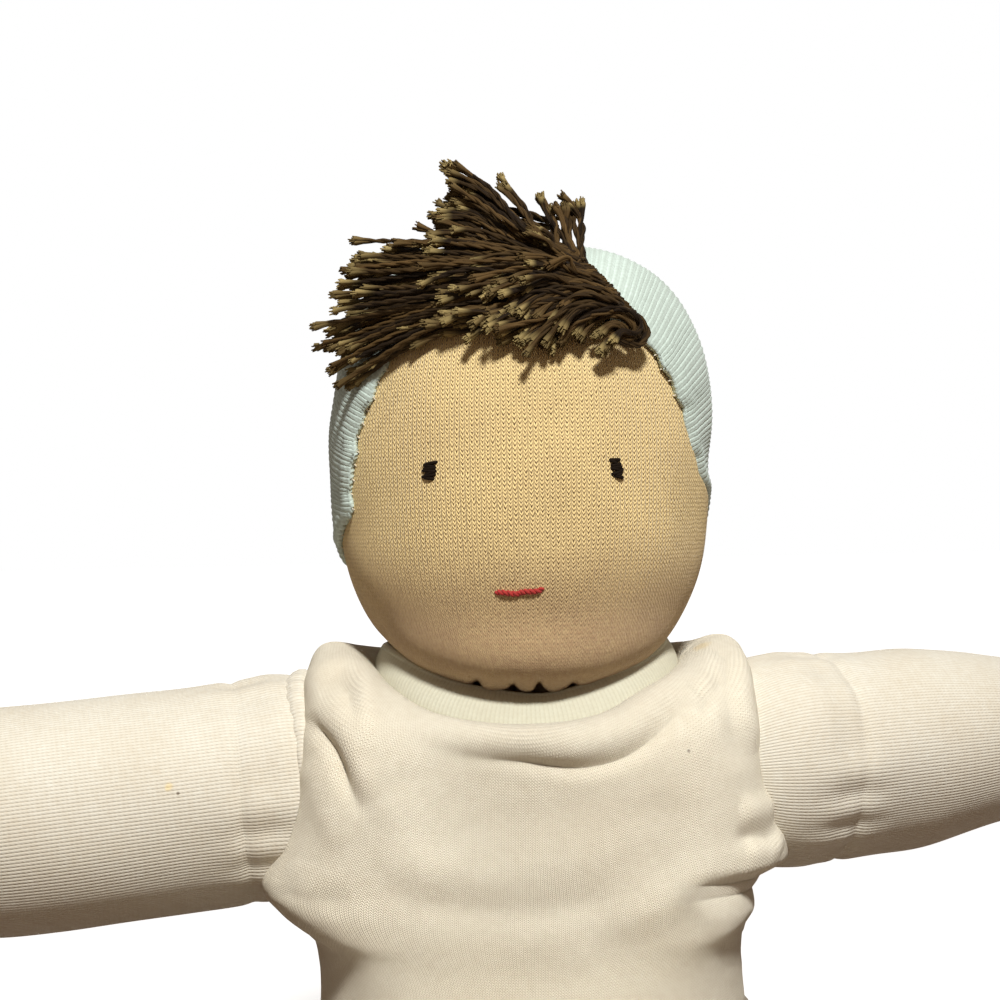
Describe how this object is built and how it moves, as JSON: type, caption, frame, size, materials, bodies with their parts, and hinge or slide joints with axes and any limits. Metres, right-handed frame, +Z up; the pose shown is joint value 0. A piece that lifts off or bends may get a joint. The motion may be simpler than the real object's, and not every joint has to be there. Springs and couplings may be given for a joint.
{
  "type": "stuffed rag doll",
  "caption": "Seated stuffed knit rag doll with a ball head, ribbed cap, swept yarn tuft, stitched face, jersey body and mitten hands; head, arms and legs turn.",
  "frame": {"origin": "on the flat seat that the doll sits on, straight below the middle of the neck", "axes": "+X to the doll's left side, -Y the way the doll faces and its legs point, +Z up"},
  "size_m": [0.2724, 0.1726, 0.1843],
  "materials": {
    "wool_stuffing": "carded wool, packed firm",
    "skin_knit": "matte fine knit, peach",
    "white_jersey": "matte cotton jersey",
    "cream_rib_knit": "matte fine rib knit",
    "mint_rib_knit": "matte rib knit, pale mint",
    "brown_yarn": "soft mohair-like yarn, dark brown",
    "dark_floss": "cotton floss, slight sheen",
    "red_floss": "cotton floss, slight sheen",
    "sewing_thread": "strong matte thread"
  },
  "bodies": {
    "torso": {"torso_core": "wool_stuffing", "front_panel": "white_jersey", "back_panel": "white_jersey", "neckband": "cream_rib_knit"},
    "head": {"head_core": "wool_stuffing", "head_skin": "skin_knit", "neck_tie": "sewing_thread", "eye_line_tie": "sewing_thread", "hair_cap": "mint_rib_knit", "eye_left": "dark_floss", "eye_right": "dark_floss", "mouth": "red_floss", "hair_strip": "brown_yarn", "hair_tuft": "brown_yarn"},
    "shoulder_left": {"shoulder_thread_left": "sewing_thread"},
    "arm_left": {"sleeve_left": "cream_rib_knit", "arm_core_left": "wool_stuffing", "wrist_tie_left": "sewing_thread", "hand_left": "skin_knit"},
    "shoulder_right": {"shoulder_thread_right": "sewing_thread"},
    "arm_right": {"sleeve_right": "cream_rib_knit", "arm_core_right": "wool_stuffing", "wrist_tie_right": "sewing_thread", "hand_right": "skin_knit"},
    "leg_left": {"leg_cover_left": "cream_rib_knit", "leg_core_left": "wool_stuffing", "ankle_tie_left": "sewing_thread", "foot_left": "skin_knit"},
    "leg_right": {"leg_cover_right": "cream_rib_knit", "leg_core_right": "wool_stuffing", "ankle_tie_right": "sewing_thread", "foot_right": "skin_knit"}
  },
  "joints": [
    {"name": "head_turn", "type": "hinge", "parent": "torso", "child": "head", "pos_m": [0, 0, 0.0904], "axis": [0, 0, 1], "range_deg": [-30, 30]},
    {"name": "shoulder_left_swing", "type": "hinge", "parent": "torso", "child": "shoulder_left", "pos_m": [0.0435, 0, 0.077], "axis": [0, 0, -1], "range_deg": [-6, 50]},
    {"name": "arm_left_lift", "type": "hinge", "parent": "shoulder_left", "child": "arm_left", "pos_m": [0.0435, 0, 0.077], "axis": [0.3746, -0.9272, 0], "range_deg": [-21.5, 36.5]},
    {"name": "shoulder_right_swing", "type": "hinge", "parent": "torso", "child": "shoulder_right", "pos_m": [-0.0435, 0, 0.0739], "axis": [0, 0, 1], "range_deg": [-40, 16]},
    {"name": "arm_right_lift", "type": "hinge", "parent": "shoulder_right", "child": "arm_right", "pos_m": [-0.0435, 0, 0.0739], "axis": [-0.2079, 0.9781, 0], "range_deg": [-15.3, 42.7]},
    {"name": "leg_left_fold", "type": "hinge", "parent": "torso", "child": "leg_left", "pos_m": [0.0186, -0.016, 0.0172], "axis": [1, 0, 0], "range_deg": [0, 90]},
    {"name": "leg_right_fold", "type": "hinge", "parent": "torso", "child": "leg_right", "pos_m": [-0.0186, -0.016, 0.0172], "axis": [1, 0, 0], "range_deg": [0, 90]}
  ]
}
